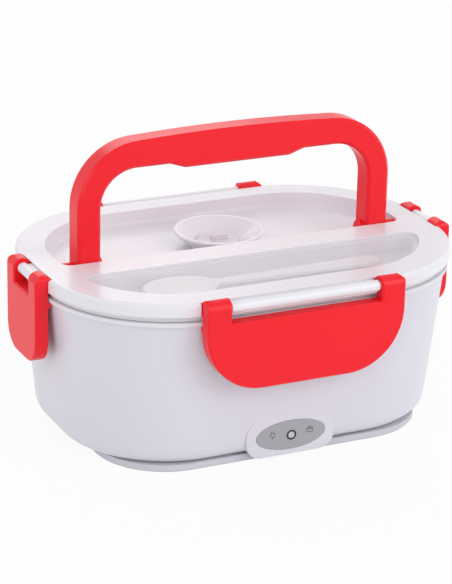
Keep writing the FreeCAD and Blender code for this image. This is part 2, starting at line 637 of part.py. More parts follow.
prongs = new_body("inlet_pins")
prong_tip = inlet_face - size.mouth_deep + size.prong_long
sketch = new_sketch(prongs, "prong_rods", "XZ_Plane", -prong_tip)
for across in mirrored(size.prong_at):
    circle(sketch, across, inlet_centre, size.prong_radius)
pad(prongs, sketch, prong_tip - pad_face + size.inlet_deep + size.prong_tail)

# Food tray: hangs by its flange on the liner and rests its floor on the heating plate.
tray = new_body("food_tray")
sketch = new_sketch(tray, "tray_flange_outline", "XY_Plane", flange_top)
lid_outline(sketch, size.tray_flange_inset)
pad(tray, sketch, size.tray_flange)
sketch = new_sketch(tray, "tray_tub", "XY_Plane", tray_top)
lid_outline(sketch, size.tray_inset)
pad(tray, sketch, tray_top - liner_top, -size.wall_slope, back=True)
sketch = new_sketch(tray, "tray_hollow", "XY_Plane", tray_top)
lid_outline(sketch, size.tray_inset + size.tray_wall)
pocket(tray, sketch, tray_top - liner_top - size.tray_wall, -size.wall_slope)
dress(tray, "Fillet", "tray_inside_round", size.tray_round - size.tray_wall,
      level_with(liner_top + size.tray_wall))
dress(tray, "Fillet", "tray_outside_round", size.tray_round, level_with(liner_top))
dress(tray, "Fillet", "tray_lip", size.tray_lip_round, level_with(tray_top))

# Lid: a frame with a skirt, a rear recess for the handle, a front well for the spoon, a vent dish.
lid = new_body("lid")
sketch = new_sketch(lid, "lid_block", "XY_Plane", skirt_low)
lid_outline(sketch, zero)
pad(lid, sketch, lid_top - skirt_low)
dress(lid, "Fillet", "lid_top_round", size.lid_round, level_with(lid_top))
sketch = new_sketch(lid, "lid_under_hollow", "XY_Plane", skirt_low)
lid_outline(sketch, size.seat_inner)
pocket(lid, sketch, lid_under - skirt_low, back=True)
for name, outer, inner, roof in (("seal_groove", size.groove_outer, size.groove_inner, groove_roof),
                                 ("skirt_groove", size.skirt_wall, size.seat_outer, lid_under)):
    sketch = new_sketch(lid, name, "XY_Plane", skirt_low)
    lid_outline(sketch, outer)
    lid_outline(sketch, inner)
    pocket(lid, sketch, roof - skirt_low, back=True)

# Solid blocks behind the notches that the latch ears turn in.
sketch = new_sketch(lid, "notch_blocks", "XY_Plane", skirt_low)
block_near = size.skirt_wall / 2
for across, along in corners:
    ends = sorted([(ear_inner - size.ear_side_fit) * across, (size.latch_half + size.skirt_wall) * across],
                  key=lambda length: length.number)
    sides = sorted([(lid_half_wide - block_near) * along, (lid_half_wide - size.groove_outer) * along],
                   key=lambda length: length.number)
    box(sketch, *ends, *sides)
    ends = sorted([(lid_half - block_near) * across, (lid_half - size.groove_outer) * across],
                  key=lambda length: length.number)
    sides = sorted([(side_ear_inner - size.ear_side_fit) * along,
                    (size.side_latch_half + size.skirt_wall) * along], key=lambda length: length.number)
    box(sketch, *ends, *sides)
pad(lid, sketch, lid_under - skirt_low)

# Tubs under the frame: rear recess, its two leg pockets, front well and vent dish.
def well_outline(sketch, inset):
    """The front well seen from above: side arcs that run into small corners at the bar."""
    radius = lid_corner - size.well_inset - inset
    middle_across = lid_half - lid_corner
    middle_along = lid_corner - lid_half_wide
    front = size.well_inset + inset - lid_half_wide
    rear = size.well_rear - inset
    turn = size.well_rear_corner - inset
    side_end = rear - turn
    side = middle_across + radius.leg(middle_along - side_end)
    trace(sketch, [
        (-middle_across, front),
        (middle_across, front, radius, "left"),
        (side, side_end, turn, "left"),
        (side - turn, rear),
        (turn - side, rear, turn, "left"),
        (-side, side_end, radius, "left"),
    ])


sketch = new_sketch(lid, "recess_tub", "XY_Plane", recess_floor - size.tub_wall)
rounded(sketch, -recess_half - size.tub_wall, recess_half + size.tub_wall, recess_front - size.tub_wall,
        recess_rear + size.tub_wall, size.recess_front_corner + size.tub_wall, recess_corner + size.tub_wall)
pad(lid, sketch, lid_under - recess_floor + size.tub_wall + size.lid_plate / 2)
sketch = new_sketch(lid, "well_tub", "XY_Plane", well_floor - size.tub_wall)
well_outline(sketch, -size.tub_wall)
pad(lid, sketch, lid_under - well_floor + size.tub_wall + size.lid_plate / 2)
sketch = new_sketch(lid, "leg_tubs", "XY_Plane", leg_pocket_floor - size.leg_pocket_wall)
for way in both_ways:
    near = leg_pocket_in - size.leg_pocket_wall
    far = leg_pocket_out + size.leg_pocket_wall
    left, right = (near, far) if way > 0 else (-far, -near)
    box(sketch, left, right, recess_front - size.leg_pocket_wall,
        leg_pocket_rear + size.leg_pocket_wall)
pad(lid, sketch, recess_floor - leg_pocket_floor)
sketch = new_sketch(lid, "recess_hollow", "XY_Plane", lid_top)
rounded(sketch, -recess_half, recess_half, recess_front, recess_rear, size.recess_front_corner,
        recess_corner)
pocket(lid, sketch, lid_top - recess_floor, -size.recess_slope)
dress(lid, "Fillet", "recess_floor_round", size.recess_round, level_with(recess_floor))
sketch = new_sketch(lid, "leg_pockets", "XY_Plane", recess_floor + size.recess_round)
for way in both_ways:
    left, right = leg_pocket_in, leg_pocket_out
    if way < 0:
        left, right = -right, -left
    box(sketch, left, right, recess_front + size.leg_pocket_fit, leg_pocket_rear)
pocket(lid, sketch, recess_floor + size.recess_round - leg_pocket_floor)
sketch = new_sketch(lid, "well_seat", "XY_Plane", lid_top)
well_outline(sketch, zero)
pocket(lid, sketch, size.ledge_deep)
sketch = new_sketch(lid, "well_hollow", "XY_Plane", lid_top)
well_outline(sketch, size.ledge_wide)
pocket(lid, sketch, lid_top - well_floor)
sketch = new_sketch(lid, "dish_outside", "XZ_Plane", -size.dish_centre)
trace(sketch, [
    (zero, recess_floor - size.tub_wall), (size.dish_floor_radius + size.dish_rim,
                                                recess_floor - size.tub_wall),
    (size.dish_radius + size.dish_rim, dish_top - size.dish_lip),
    (size.dish_radius + size.dish_rim, dish_top), (zero, dish_top),
])


def revolve(body, kind, sketch):
    feature = body.newObject("PartDesign::" + kind, sketch.Name + "_turned")
    feature.Profile = sketch
    feature.ReferenceAxis = (sketch, ["V_Axis"])
    feature.Angle = 360
    doc.recompute()
    return feature


revolve(lid, "Revolution", sketch)
sketch = new_sketch(lid, "dish_inside", "XZ_Plane", -size.dish_centre)
trace(sketch, [
    (zero, dish_floor), (size.dish_floor_radius, dish_floor), (size.dish_radius, dish_top),
    (size.dish_radius, lid_top + size.lid_plate), (zero, lid_top + size.lid_plate),
])
revolve(lid, "Groove", sketch)
dress(lid, "Fillet", "dish_rim_fillet", size.dish_rim_round, level_with(dish_top))
sketch = new_sketch(lid, "vent_hole", "XY_Plane", dish_floor)
circle(sketch, zero, size.dish_centre, size.vent_radius)
pocket(lid, sketch, dish_floor - recess_floor + size.tub_wall)

# Pivot bores for the handle's stubs, through bosses on the recess end walls.
for way, name in ((1, "right_hub"), (-1, "left_hub")):
    sketch = new_sketch(lid, name, "YZ_Plane", (recess_half + size.tub_wall) * way)
    circle(sketch, size.pivot_along, pivot_high, size.hub_boss)
    pad(lid, sketch, size.tub_wall, back=way > 0)
    sketch = new_sketch(lid, name + "_bore", "YZ_Plane", (recess_half + size.tub_wall) * way)
    circle(sketch, size.pivot_along, pivot_high, size.stub_radius + size.stub_fit)
    pocket(lid, sketch, size.tub_wall * 2, back=way < 0)

# Notches for the ears, then the four rods with their end pins, grown on the skirt.
notch_radius = size.ear_radius + size.ear_fit
notch_half = size.latch_half + size.ear_side_fit
side_notch_half = size.side_latch_half + size.ear_side_fit
sketch = new_sketch(lid, "long_notches", "YZ_Plane", notch_half)
for along in mirrored(rod_along):
    circle(sketch, along, rod_high, notch_radius)
pocket(lid, sketch, notch_half * 2)
sketch = new_sketch(lid, "short_notches", "XZ_Plane", side_notch_half)
for across in mirrored(rod_across):
    circle(sketch, across, rod_high, notch_radius)
pocket(lid, sketch, side_notch_half * 2)
sketch = new_sketch(lid, "rod_webs", "XY_Plane", skirt_low)
web_root = size.groove_outer
for way in both_ways:
    sides = sorted([rod_along * way, (lid_half_wide - web_root) * way], key=lambda length: length.number)
    box(sketch, -rod_half, rod_half, *sides)
    ends = sorted([rod_across * way, (lid_half - web_root) * way], key=lambda length: length.number)
    box(sketch, *ends, -side_rod_half, side_rod_half)
pad(lid, sketch, rod_high - skirt_low + size.rod_radius - size.lid_plate / 2)
for name, radius, half, side_half in (
    ("rods", size.rod_radius, rod_half, side_rod_half),
    ("pins", size.pin_radius, rod_half + size.pin_long, side_rod_half + size.side_pin_long),
):
    sketch = new_sketch(lid, "long_" + name, "YZ_Plane", -half)
    for along in mirrored(rod_along):
        circle(sketch, along, rod_high, radius)
    pad(lid, sketch, half * 2)
    sketch = new_sketch(lid, "short_" + name, "XZ_Plane", -side_half)
    for across in mirrored(rod_across):
        circle(sketch, across, rod_high, radius)
    pad(lid, sketch, side_half * 2)

# Lid seal: a soft ring in the lid's groove, over the tray flange.
lid_seal = new_body("lid_seal")
sketch = new_sketch(lid_seal, "lid_seal_ring", "XY_Plane", seal_low)
lid_outline(sketch, size.groove_outer + size.seal_fit)
lid_outline(sketch, size.groove_inner - size.seal_fit)
pad(lid_seal, sketch, groove_roof - seal_low)
dress(lid_seal, "Fillet", "lid_seal_round", size.seal_round, level_with(seal_low))

# Vent plug: a soft disc in the bottom of the dish, with a stem in the vent hole and a grip to pull.
plug = new_body("vent_plug")
plug_low = dish_floor + size.plug_gap
sketch = new_sketch(plug, "plug_disc", "XY_Plane", plug_low)
circle(sketch, zero, size.dish_centre, size.plug_radius)
pad(plug, sketch, size.plug_thick)
dress(plug, "Fillet", "plug_disc_round", size.plug_round, level_with(plug_low + size.plug_thick))
sketch = new_sketch(plug, "plug_grip", "XY_Plane", plug_low)
rounded(sketch, -size.plug_grip_half, size.plug_grip_half, size.dish_centre - size.plug_grip_wide,
        size.dish_centre + size.plug_grip_wide, size.plug_grip_wide / 2)
pad(plug, sketch, size.plug_thick + size.plug_grip_high)
sketch = new_sketch(plug, "plug_stem", "XY_Plane", plug_low)
circle(sketch, zero, size.dish_centre, size.vent_radius - size.vent_fit)
pad(plug, sketch, plug_low - recess_floor + size.plug_stem, back=True)

# Spoon cover: a clear plate dropped into the well's seat.
spoon_cover = new_body("spoon_cover")
cover_low = lid_top - size.ledge_deep + size.cover_gap
sketch = new_sketch(spoon_cover, "spoon_cover_outline", "XY_Plane", cover_low)
well_outline(sketch, size.cover_fit)
pad(spoon_cover, sketch, size.cover_thick)
dress(spoon_cover, "Fillet", "spoon_cover_round", size.cover_round,
      level_with(cover_low + size.cover_thick))

# Spoon: a hollow bowl at the left and a flat stem that widens towards its end.
spoon = new_body("spoon")
bowl_rim = spoon_low + size.bowl_deep
for kind, name, shrink in (("AdditiveEllipsoid", "bowl_outside", zero),
                           ("SubtractiveEllipsoid", "bowl_inside", size.bowl_wall)):
    bowl = spoon.newObject("PartDesign::" + kind, name)
    bind(bowl, "Radius1", size.bowl_deep - shrink)
    bind(bowl, "Radius2", size.bowl_long - shrink)
    bind(bowl, "Radius3", size.bowl_wide - shrink)
    bowl.Angle2 = 0
    bind(bowl, "AttachmentOffset.Base.x", spoon_left + size.bowl_long)
    bind(bowl, "AttachmentOffset.Base.y", spoon_along)
    bind(bowl, "AttachmentOffset.Base.z", bowl_rim)
    bowl.MapMode = "FlatFace"
    bowl.AttachmentSupport = [(next(p for p in spoon.Origin.OriginFeatures if p.Role == "XY_Plane"), "")]
    doc.recompute()
sketch = new_sketch(spoon, "spoon_stem", "XY_Plane", bowl_rim)
stem_root = spoon_left + size.bowl_long * 2 - size.bowl_wall
trace(sketch, [
    (stem_root, spoon_along - size.spoon_neck),
    (spoon_right - size.spoon_end, spoon_along - size.spoon_end, size.spoon_end, "left"),
    (spoon_right, spoon_along, size.spoon_end, "left"),
    (spoon_right - size.spoon_end, spoon_along + size.spoon_end),
    (stem_root, spoon_along + size.spoon_neck),
])
pad(spoon, sketch, size.spoon_thick, back=True)

# Handle: one flat bail with an arched top, a belly under the grip and round feet on its pivots.
handle = new_body("handle")
handle_front = size.handle_deep / 2 - size.pivot_along
shoulder = handle_half - size.handle_corner
sketch = new_sketch(handle, "bail", "XZ_Plane", handle_front - size.handle_deep)
trace(sketch, [
    (-handle_half, pivot_high),
    (-handle_half, handle_top - size.handle_corner, size.handle_corner, "right"),
    (-shoulder, handle_top, size.handle_arch_radius, "right"),
    (shoulder, handle_top, size.handle_corner, "right"),
    (handle_half, handle_top - size.handle_corner),
    (handle_half, pivot_high),
    (inner_half, pivot_high),
    (inner_half, handle_under - size.handle_inside_corner, size.handle_inside_corner, "left"),
    (inner_half - size.handle_inside_corner, handle_under),
    (size.belly_half, handle_under),
    (size.belly_half - size.belly_run, handle_under - size.belly_deep),
    (size.belly_run - size.belly_half, handle_under - size.belly_deep),
    (-size.belly_half, handle_under),
    (size.handle_inside_corner - inner_half, handle_under, size.handle_inside_corner, "left"),
    (-inner_half, handle_under - size.handle_inside_corner),
    (-inner_half, pivot_high),
])
pad(handle, sketch, size.handle_deep)
for way, name in ((1, "right_foot"), (-1, "left_foot")):
    sketch = new_sketch(handle, name, "YZ_Plane", inner_half * way)
    circle(sketch, size.pivot_along, pivot_high, size.handle_deep / 2)
    pad(handle, sketch, size.handle_leg, back=way < 0)


def on_bail_faces(edge):
    """Edges of the bail's front and rear faces, without the seams across the feet."""
    bounds = edge.BoundBox
    if bounds.ZMax - pivot_high.number < 1e-4:
        return False
    return flush_with(-handle_front)(edge) or flush_with(size.handle_deep - handle_front)(edge)


dress(handle, "Chamfer", "handle_bevel", size.handle_edge, on_bail_faces)
for way, name in ((1, "right"), (-1, "left")):
    sketch = new_sketch(handle, name + "_stub", "YZ_Plane", (handle_half - size.hub_thick) * way)
    circle(sketch, size.pivot_along, pivot_high, size.stub_radius)
    pad(handle, sketch, stub_tip - handle_half + size.hub_thick, back=way < 0)
    sketch = new_sketch(handle, name + "_inner_hub", "YZ_Plane", (inner_half - size.hub_thick) * way)
    circle(sketch, size.pivot_along, pivot_high, size.hub_radius)
    pad(handle, sketch, size.hub_thick * 2, back=way < 0)


def add_latch(name, half, corner, ear_inner, bore, turn, across, along):
    """One flap latch, drawn about its pivot with its face towards -Y, then set on its side of the lid."""
    latch = new_body(name)
    low = -size.latch_long
    edge = -size.latch_edge_drop
    top = size.ear_radius
    ear_turn = size.latch_ear_corner
    back = hook_reach + size.latch_spare
    sketch = new_sketch(latch, name + "_outline", "XZ_Plane", -back)
    trace(sketch, [
        (corner - half, low),
        (half - corner, low, corner, "left"),
        (half, low + corner),
        (half, top - ear_turn, ear_turn, "left"),
        (half - ear_turn, top),
        (ear_inner, top),
        (ear_inner, edge),
        (-ear_inner, edge),
        (-ear_inner, top),
        (ear_turn - half, top, ear_turn, "left"),
        (-half, top - ear_turn),
        (-half, low + corner, corner, "left"),
    ])
    pad(latch, sketch, back + size.ear_radius)
    dress(latch, "Chamfer", name + "_edge", size.latch_face_edge, flush_with(-top))
    sketch = new_sketch(latch, name + "_hollow", "XZ_Plane", -back)
    trace(sketch, [
        (corner - half, low + size.latch_wall),
        (half - corner, low + size.latch_wall, corner - size.latch_wall, "left"),
        (half - size.latch_wall, low + corner),
        (half - size.latch_wall, hook_low),
        (size.latch_wall - half, hook_low),
        (size.latch_wall - half, low + corner, corner - size.latch_wall, "left"),
    ])
    pocket(latch, sketch, back + size.ear_radius - size.latch_plate, back=True)
    side = half + size.latch_spare
    sketch = new_sketch(latch, name + "_section", "YZ_Plane", side)
    far = back + size.latch_spare
    clear = size.ear_radius + size.latch_spare
    trace(sketch, [
        (-top, zero, top, "right"),
        (zero, top, top, "right"),
        (top, zero, top, "right"),
        (latch_back, -top.leg(latch_back)),
        (latch_back, hook_top),
        (hook_reach, hook_top),
        (hook_reach, hook_low),
        (latch_back, hook_low - size.hook_catch),
        (latch_back, low),
        (far, low),
        (far, clear),
        (-clear, clear),
        (-clear, zero),
    ])
    pocket(latch, sketch, side * 2)
    for way, part in ((1, "_right_bore"), (-1, "_left_bore")):
        sketch = new_sketch(latch, name + part, "YZ_Plane", (ear_inner + bore) * way)
        circle(sketch, zero, zero, size.pin_radius + size.pin_fit)
        pocket(latch, sketch, bore, back=way < 0)
    latch.Placement = FreeCAD.Placement(FreeCAD.Vector(across.number, along.number, rod_high.number),
                                        FreeCAD.Rotation(FreeCAD.Vector(0, 0, 1), turn))
    for path, length in (("x", across), ("y", along), ("z", rod_high)):
        bind(latch, "Placement.Base." + path, length)
    doc.recompute()


# Latches: a wide pair at the front and rear, a narrow pair at the ends.
long_latch = (size.latch_half, latch_corner, ear_inner, size.pin_bore)
short_latch = (size.side_latch_half, size.side_latch_corner, side_ear_inner, size.side_pin_bore)
add_latch("front_latch", *long_latch, 0, zero, -rod_along)
add_latch("rear_latch", *long_latch, 180, zero, rod_along)
add_latch("left_latch", *short_latch, -90, -rod_across, zero)
add_latch("right_latch", *short_latch, 90, rod_across, zero)

# Every piece is checked, then written as its own file.
nodes = [
    "outer_shell", "bottom_cover", "cover_screws", "inner_liner", "heating_plate", "plate_seal",
    "heater_element", "heater_bracket", "bracket_screws", "thermostat", "thermal_fuse",
    "indicator_panel", "led_lens", "led_board", "inlet_socket", "inlet_pins", "food_tray",
    "lid", "lid_seal", "vent_plug", "spoon_cover", "spoon", "handle",
    "front_latch", "rear_latch", "left_latch", "right_latch",
]
doc.recompute()
for thing in doc.Objects:
    if "Invalid" in thing.State or "Error" in thing.State:
        raise ValueError(f"{thing.Name} is {thing.State}")
for name in nodes:
    shape = doc.getObject(name).Shape
    if shape.isNull() or not shape.isValid():
        raise ValueError(name + " has no valid shape")
    shape.exportStep(f"parts/{name}.step")
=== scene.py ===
import math

import bmesh
import bpy
from mathutils import Matrix, Vector


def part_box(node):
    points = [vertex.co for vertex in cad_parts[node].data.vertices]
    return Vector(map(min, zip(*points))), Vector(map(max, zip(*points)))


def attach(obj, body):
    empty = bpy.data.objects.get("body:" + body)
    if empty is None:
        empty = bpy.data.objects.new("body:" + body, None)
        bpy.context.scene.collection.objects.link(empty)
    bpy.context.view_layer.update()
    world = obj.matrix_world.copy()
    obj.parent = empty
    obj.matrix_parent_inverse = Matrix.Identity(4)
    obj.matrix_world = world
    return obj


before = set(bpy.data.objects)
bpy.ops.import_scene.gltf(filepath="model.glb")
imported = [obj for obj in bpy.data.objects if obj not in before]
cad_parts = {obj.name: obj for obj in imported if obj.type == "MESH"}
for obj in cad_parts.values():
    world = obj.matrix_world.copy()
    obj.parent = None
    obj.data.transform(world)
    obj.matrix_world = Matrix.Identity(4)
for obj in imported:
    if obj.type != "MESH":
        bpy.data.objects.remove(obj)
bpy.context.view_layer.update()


# Outer shell: one injection-moulded housing in white plastic with a cool cast.
# It is moulded with a fine satin grain that only shows as a softening of the highlights,
# and it carries the pads for the lamp panel at the front and the inlet at the rear.
def shader_of(material):
    """The surface shader of a finish."""
    return material.node_tree.nodes["Principled BSDF"]


def moulded(name, colour, shade, rough, grain=900.0, bump=0.02, specular=0.5, soft=0.0, depth=(0.002, 0.002, 0.002)):
    """Plastic with a faint drift of colour through the moulding and a fine surface grain."""
    material = bpy.data.materials.new(name)
    material.use_nodes = True
    nodes, links = material.node_tree.nodes, material.node_tree.links
    shader = shader_of(material)
    shader.inputs["Specular IOR Level"].default_value = specular
    if soft:
        shader.inputs["Subsurface Weight"].default_value = soft
        shader.inputs["Subsurface Radius"].default_value = depth
    place = nodes.new("ShaderNodeTexCoord")

    drift = nodes.new("ShaderNodeTexNoise")
    drift.inputs["Scale"].default_value = 14.0
    drift.inputs["Detail"].default_value = 3.0
    links.new(place.outputs["Object"], drift.inputs["Vector"])
    tint = nodes.new("ShaderNodeMix")
    tint.data_type = "RGBA"
    tint.inputs["A"].default_value = (*shade, 1.0)
    tint.inputs["B"].default_value = (*colour, 1.0)
    links.new(drift.outputs["Fac"], tint.inputs["Factor"])
    links.new(tint.outputs["Result"], shader.inputs["Base Color"])

    fine = nodes.new("ShaderNodeTexNoise")
    fine.inputs["Scale"].default_value = grain
    fine.inputs["Detail"].default_value = 2.0
    links.new(place.outputs["Object"], fine.inputs["Vector"])
    gloss = nodes.new("ShaderNodeMapRange")
    gloss.inputs["To Min"].default_value = rough[0]
    gloss.inputs["To Max"].default_value = rough[1]
    links.new(fine.outputs["Fac"], gloss.inputs["Value"])
    links.new(gloss.outputs["Result"], shader.inputs["Roughness"])

    relief = nodes.new("ShaderNodeBump")
    relief.inputs["Strength"].default_value = bump
    relief.inputs["Distance"].default_value = 0.0002
    links.new(fine.outputs["Fac"], relief.inputs["Height"])
    links.new(relief.outputs["Normal"], shader.inputs["Normal"])
    return material


def finish_node(node, material):
    """Put one finish on a CAD piece."""
    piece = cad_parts[node]
    piece.data.materials.clear()
    piece.data.materials.append(material)


shell_white = moulded("shell_white", (0.735, 0.725, 0.785), (0.70, 0.69, 0.755), (0.26, 0.36))
finish_node("outer_shell", shell_white)


# Bottom cover: the plinth, moulded in the same plastic with a coarser texture so it hides scuffs.
# It is held up by four zinc-plated screws that reach the posts of the liner.
def bright_metal(name, colour, shade, rough, grain):
    """Plated or cast metal with a fine uneven gloss."""
    material = moulded(name, colour, shade, rough, grain=grain, bump=0.05)
    shader_of(material).inputs["Metallic"].default_value = 1.0
    return material


plinth_white = moulded("plinth_white", (0.64, 0.63, 0.68), (0.59, 0.58, 0.635), (0.45, 0.6), grain=600.0, bump=0.08)
finish_node("bottom_cover", plinth_white)
zinc_plate = bright_metal("zinc_plate", (0.62, 0.62, 0.63), (0.52, 0.52, 0.54), (0.22, 0.4), 1400.0)
finish_node("cover_screws", zinc_plate)

# Inner liner: the matt white tub that hangs in the shell. Only its flange shows, as the fine
# bright rim under the gap, and the red hooks catch beneath it.
liner_white = moulded("liner_white", (0.80, 0.79, 0.82), (0.75, 0.74, 0.78), (0.4, 0.5))
finish_node("inner_liner", liner_white)

# Heater: a cast aluminium plate sealed into the liner's floor, a flat element pressed up to it by a
# sprung steel strap, and a thermostat and a fuse that touch the plate.
cast_aluminium = bright_metal("cast_aluminium", (0.66, 0.66, 0.68), (0.55, 0.55, 0.57), (0.38, 0.55), 500.0)
for node in ("heating_plate", "heater_element"):
    finish_node(node, cast_aluminium)
for node in ("heater_bracket", "bracket_screws", "thermal_fuse"):
    finish_node(node, zinc_plate)
phenolic_black = moulded("phenolic_black", (0.022, 0.021, 0.02), (0.012, 0.012, 0.012), (0.45, 0.6),
                         grain=700.0, bump=0.06)
finish_node("thermostat", phenolic_black)
silicone = moulded("silicone", (0.62, 0.62, 0.63), (0.56, 0.56, 0.57), (0.5, 0.62), grain=1200.0, soft=0.2)
finish_node("plate_seal", silicone)

# Indicator: a smooth grey oval set into the front pad, with a tinted lens through its middle and a
# lamp board on two pegs behind it.
panel_grey = moulded("panel_grey", (0.40, 0.40, 0.43), (0.36, 0.36, 0.39), (0.3, 0.4))
finish_node("indicator_panel", panel_grey)
lens_milk = moulded("lens_milk", (0.60, 0.59, 0.63), (0.55, 0.54, 0.58), (0.12, 0.2),
                    soft=0.3, depth=(0.001, 0.001, 0.001))
finish_node("led_lens", lens_milk)
board_green = moulded("board_green", (0.02, 0.14, 0.05), (0.015, 0.11, 0.04), (0.3, 0.42))
finish_node("led_board", board_green)


# Panel print: a dark ring round the lens and two small line signs, a plug and a lunch box.
# They are raised pad-printed ink, a twentieth of a millimetre thick, on the faces that carry them.
def outline_ring(half_long, half_wide, corner, wall, height, segments):
    """A flat ring that follows a rounded rectangle, lying on the XY plane and growing upwards."""
    ring = bmesh.new()
    bmesh.ops.create_grid(ring, x_segments=1, y_segments=1, size=1.0)
    bmesh.ops.scale(ring, vec=(half_long, half_wide, 1.0), verts=ring.verts)
    bmesh.ops.bevel(ring, geom=list(ring.verts), offset=corner, segments=segments, profile=0.5,
                    affect="VERTICES", material=-1)
    band = bmesh.ops.inset_region(ring, faces=list(ring.faces), thickness=wall, use_even_offset=True,
                                  use_boundary=True)["faces"]
    middle = [face for face in ring.faces if face not in band]
    bmesh.ops.delete(ring, geom=middle, context="FACES")
    raised = bmesh.ops.extrude_face_region(ring, geom=list(ring.faces), use_keep_orig=True)["geom"]
    bmesh.ops.translate(ring, vec=(0.0, 0.0, height),
                        verts=[part for part in raised if isinstance(part, bmesh.types.BMVert)])
    bmesh.ops.recalc_face_normals(ring, faces=ring.faces)
    return ring


def bar_of_ink(half_long, half_wide, height):
    """A short flat stroke on the XY plane, with its corners eased."""
    stroke = bmesh.new()
    bmesh.ops.create_cube(stroke, size=2.0)
    bmesh.ops.scale(stroke, vec=(half_long, half_wide, height / 2), verts=stroke.verts)
    bmesh.ops.translate(stroke, vec=(0.0, 0.0, height / 2), verts=stroke.verts)
    upright_edges = [edge for edge in stroke.edges if abs(edge.verts[0].co.z - edge.verts[1].co.z) > height / 2]
    bmesh.ops.bevel(stroke, geom=upright_edges, offset=min(half_long, half_wide) * 0.8, segments=4, profile=0.5,
                    affect="EDGES", material=-1)
    return stroke


def face_the_front(shape, across, along, up):
    """Stand a flat shape upright so that it grows towards -Y, and carry it to its place."""
    bmesh.ops.rotate(shape, cent=(0.0, 0.0, 0.0), matrix=Matrix.Rotation(math.radians(90), 3, "X"),
                     verts=shape.verts)
    bmesh.ops.translate(shape, vec=(across, along, up), verts=shape.verts)


def new_piece(name, shapes, material, body):
    """Join finished shapes into one piece that rides on a body."""
    data = bpy.data.meshes.new(name)
    whole = bmesh.new()
    for shape in shapes:
        part = bpy.data.meshes.new(name + "_part")
        shape.to_mesh(part)
        shape.free()
        whole.from_mesh(part)
        bpy.data.meshes.remove(part)
    whole.to_mesh(data)
    whole.free()
    data.shade_smooth()
    data.set_sharp_from_angle(angle=math.radians(35))
    data.materials.append(material)
    piece = bpy.data.objects.new(name, data)
    bpy.context.collection.objects.link(piece)
    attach(piece, body)


dark_ink = moulded("dark_ink", (0.014, 0.014, 0.022), (0.010, 0.010, 0.016), (0.3, 0.42), bump=0.01)
soft_ink = moulded("soft_ink", (0.10, 0.10, 0.115), (0.085, 0.085, 0.10), (0.35, 0.45), bump=0.01)
ink_thick = 0.00006
ink_sunk = 0.00002
lens_low, lens_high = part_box("led_lens")
lens_up = (lens_low[2] + lens_high[2]) / 2
lens_ring = outline_ring(0.0029, 0.0029, 0.00289, 0.00105, ink_thick, 12)
face_the_front(lens_ring, 0.0, lens_low[1] + ink_sunk, lens_up)
new_piece("lens_ring", [lens_ring], dark_ink, "base")

panel_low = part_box("indicator_panel")[0]
sign_along = panel_low[1] + ink_sunk
sign_up = lens_up + 0.0012
sign_apart = 0.0110
stroke_half = 0.00018
plug_case = outline_ring(0.00150, 0.00135, 0.0009, 0.00034, ink_thick, 5)
face_the_front(plug_case, -sign_apart, sign_along, sign_up)
plug_sign = [plug_case]
stem_up = 0.00185
for across in (-0.00065, 0.00065):
    prong = bar_of_ink(stroke_half, 0.00055, ink_thick)
    face_the_front(prong, -sign_apart + across, sign_along, sign_up + stem_up)
    plug_sign.append(prong)
tail = bar_of_ink(stroke_half, 0.00060, ink_thick)
face_the_front(tail, -sign_apart, sign_along, sign_up - stem_up)
plug_sign.append(tail)
new_piece("plug_sign", plug_sign, soft_ink, "base")
box_case = outline_ring(0.00205, 0.00130, 0.0006, 0.00034, ink_thick, 5)
face_the_front(box_case, sign_apart, sign_along, sign_up - 0.0003)
box_grip = outline_ring(0.00095, 0.00060, 0.0004, 0.00030, ink_thick, 4)
face_the_front(box_grip, sign_apart, sign_along, sign_up + 0.0014)
box_seam = bar_of_ink(0.00185, 0.00016, ink_thick)
face_the_front(box_seam, sign_apart, sign_along, sign_up + 0.0002)
new_piece("box_sign", [box_case, box_grip, box_seam], soft_ink, "base")

# Power inlet: a black phenolic socket that snaps into the rear pad.
# Its two prongs are plain metal pins with a nickel plate.
finish_node("inlet_socket", phenolic_black)
nickel = bright_metal("nickel", (0.70, 0.67, 0.60), (0.62, 0.59, 0.53), (0.18, 0.3), 1500.0)
finish_node("inlet_pins", nickel)

# Food tray: a thin off-white tub in food-safe plastic, moulded with a matt face.
# It is loose, stands on the heating plate inside the liner, and lifts out for washing.
tray_white = moulded("tray_white", (0.66, 0.64, 0.63), (0.61, 0.59, 0.58), (0.4, 0.52), grain=800.0)
finish_node("food_tray", tray_white)

# Lid: one milky moulding that lets a little light through its thin walls.
# A silicone cord is pressed into the groove underneath, and a soft lip is moulded on under the skirt,
# all the way round, where it closes most of the gap to the base; the lip's greyish lavender tone is painted shade.
lid_milk = moulded("lid_milk", (0.84, 0.83, 0.865), (0.815, 0.805, 0.845), (0.24, 0.29), bump=0.005,
                   soft=0.5, depth=(0.006, 0.006, 0.0062))
finish_node("lid", lid_milk)
finish_node("lid_seal", silicone)
# Painted shade: the lip is a pale sheet in the gap, tinted greyer and pinker than the lid to stand for the shade
# that falls in that groove.
lip_painted_gap_shade = moulded("lip_painted_gap_shade", (0.82, 0.79, 0.82), (0.79, 0.76, 0.79), (0.4, 0.5), grain=1200.0,
                   soft=0.5, depth=(0.003, 0.003, 0.003))
lip_half_long, lip_half_wide, lip_corner = 0.1146, 0.0806, 0.0671
lip_wall, lip_height, lip_low = 0.0010, 0.00365, 0.08835
lip = outline_ring(lip_half_long, lip_half_wide, lip_corner, lip_wall, lip_height, 28)
bmesh.ops.translate(lip, vec=(0.0, 0.0, lip_low), verts=lip.verts)
new_piece("lid_lip", [lip], lip_painted_gap_shade, "lid_group")

# Vent plug: a soft silicone disc in the bottom of the dish, pulled by the small fin on its top.
# It is moulded in one pale, slightly cloudy piece with its stem.
plug_pale = moulded("plug_pale", (0.74, 0.70, 0.76), (0.70, 0.66, 0.72), (0.42, 0.52), grain=1200.0, soft=0.4)
finish_node("vent_plug", plug_pale)

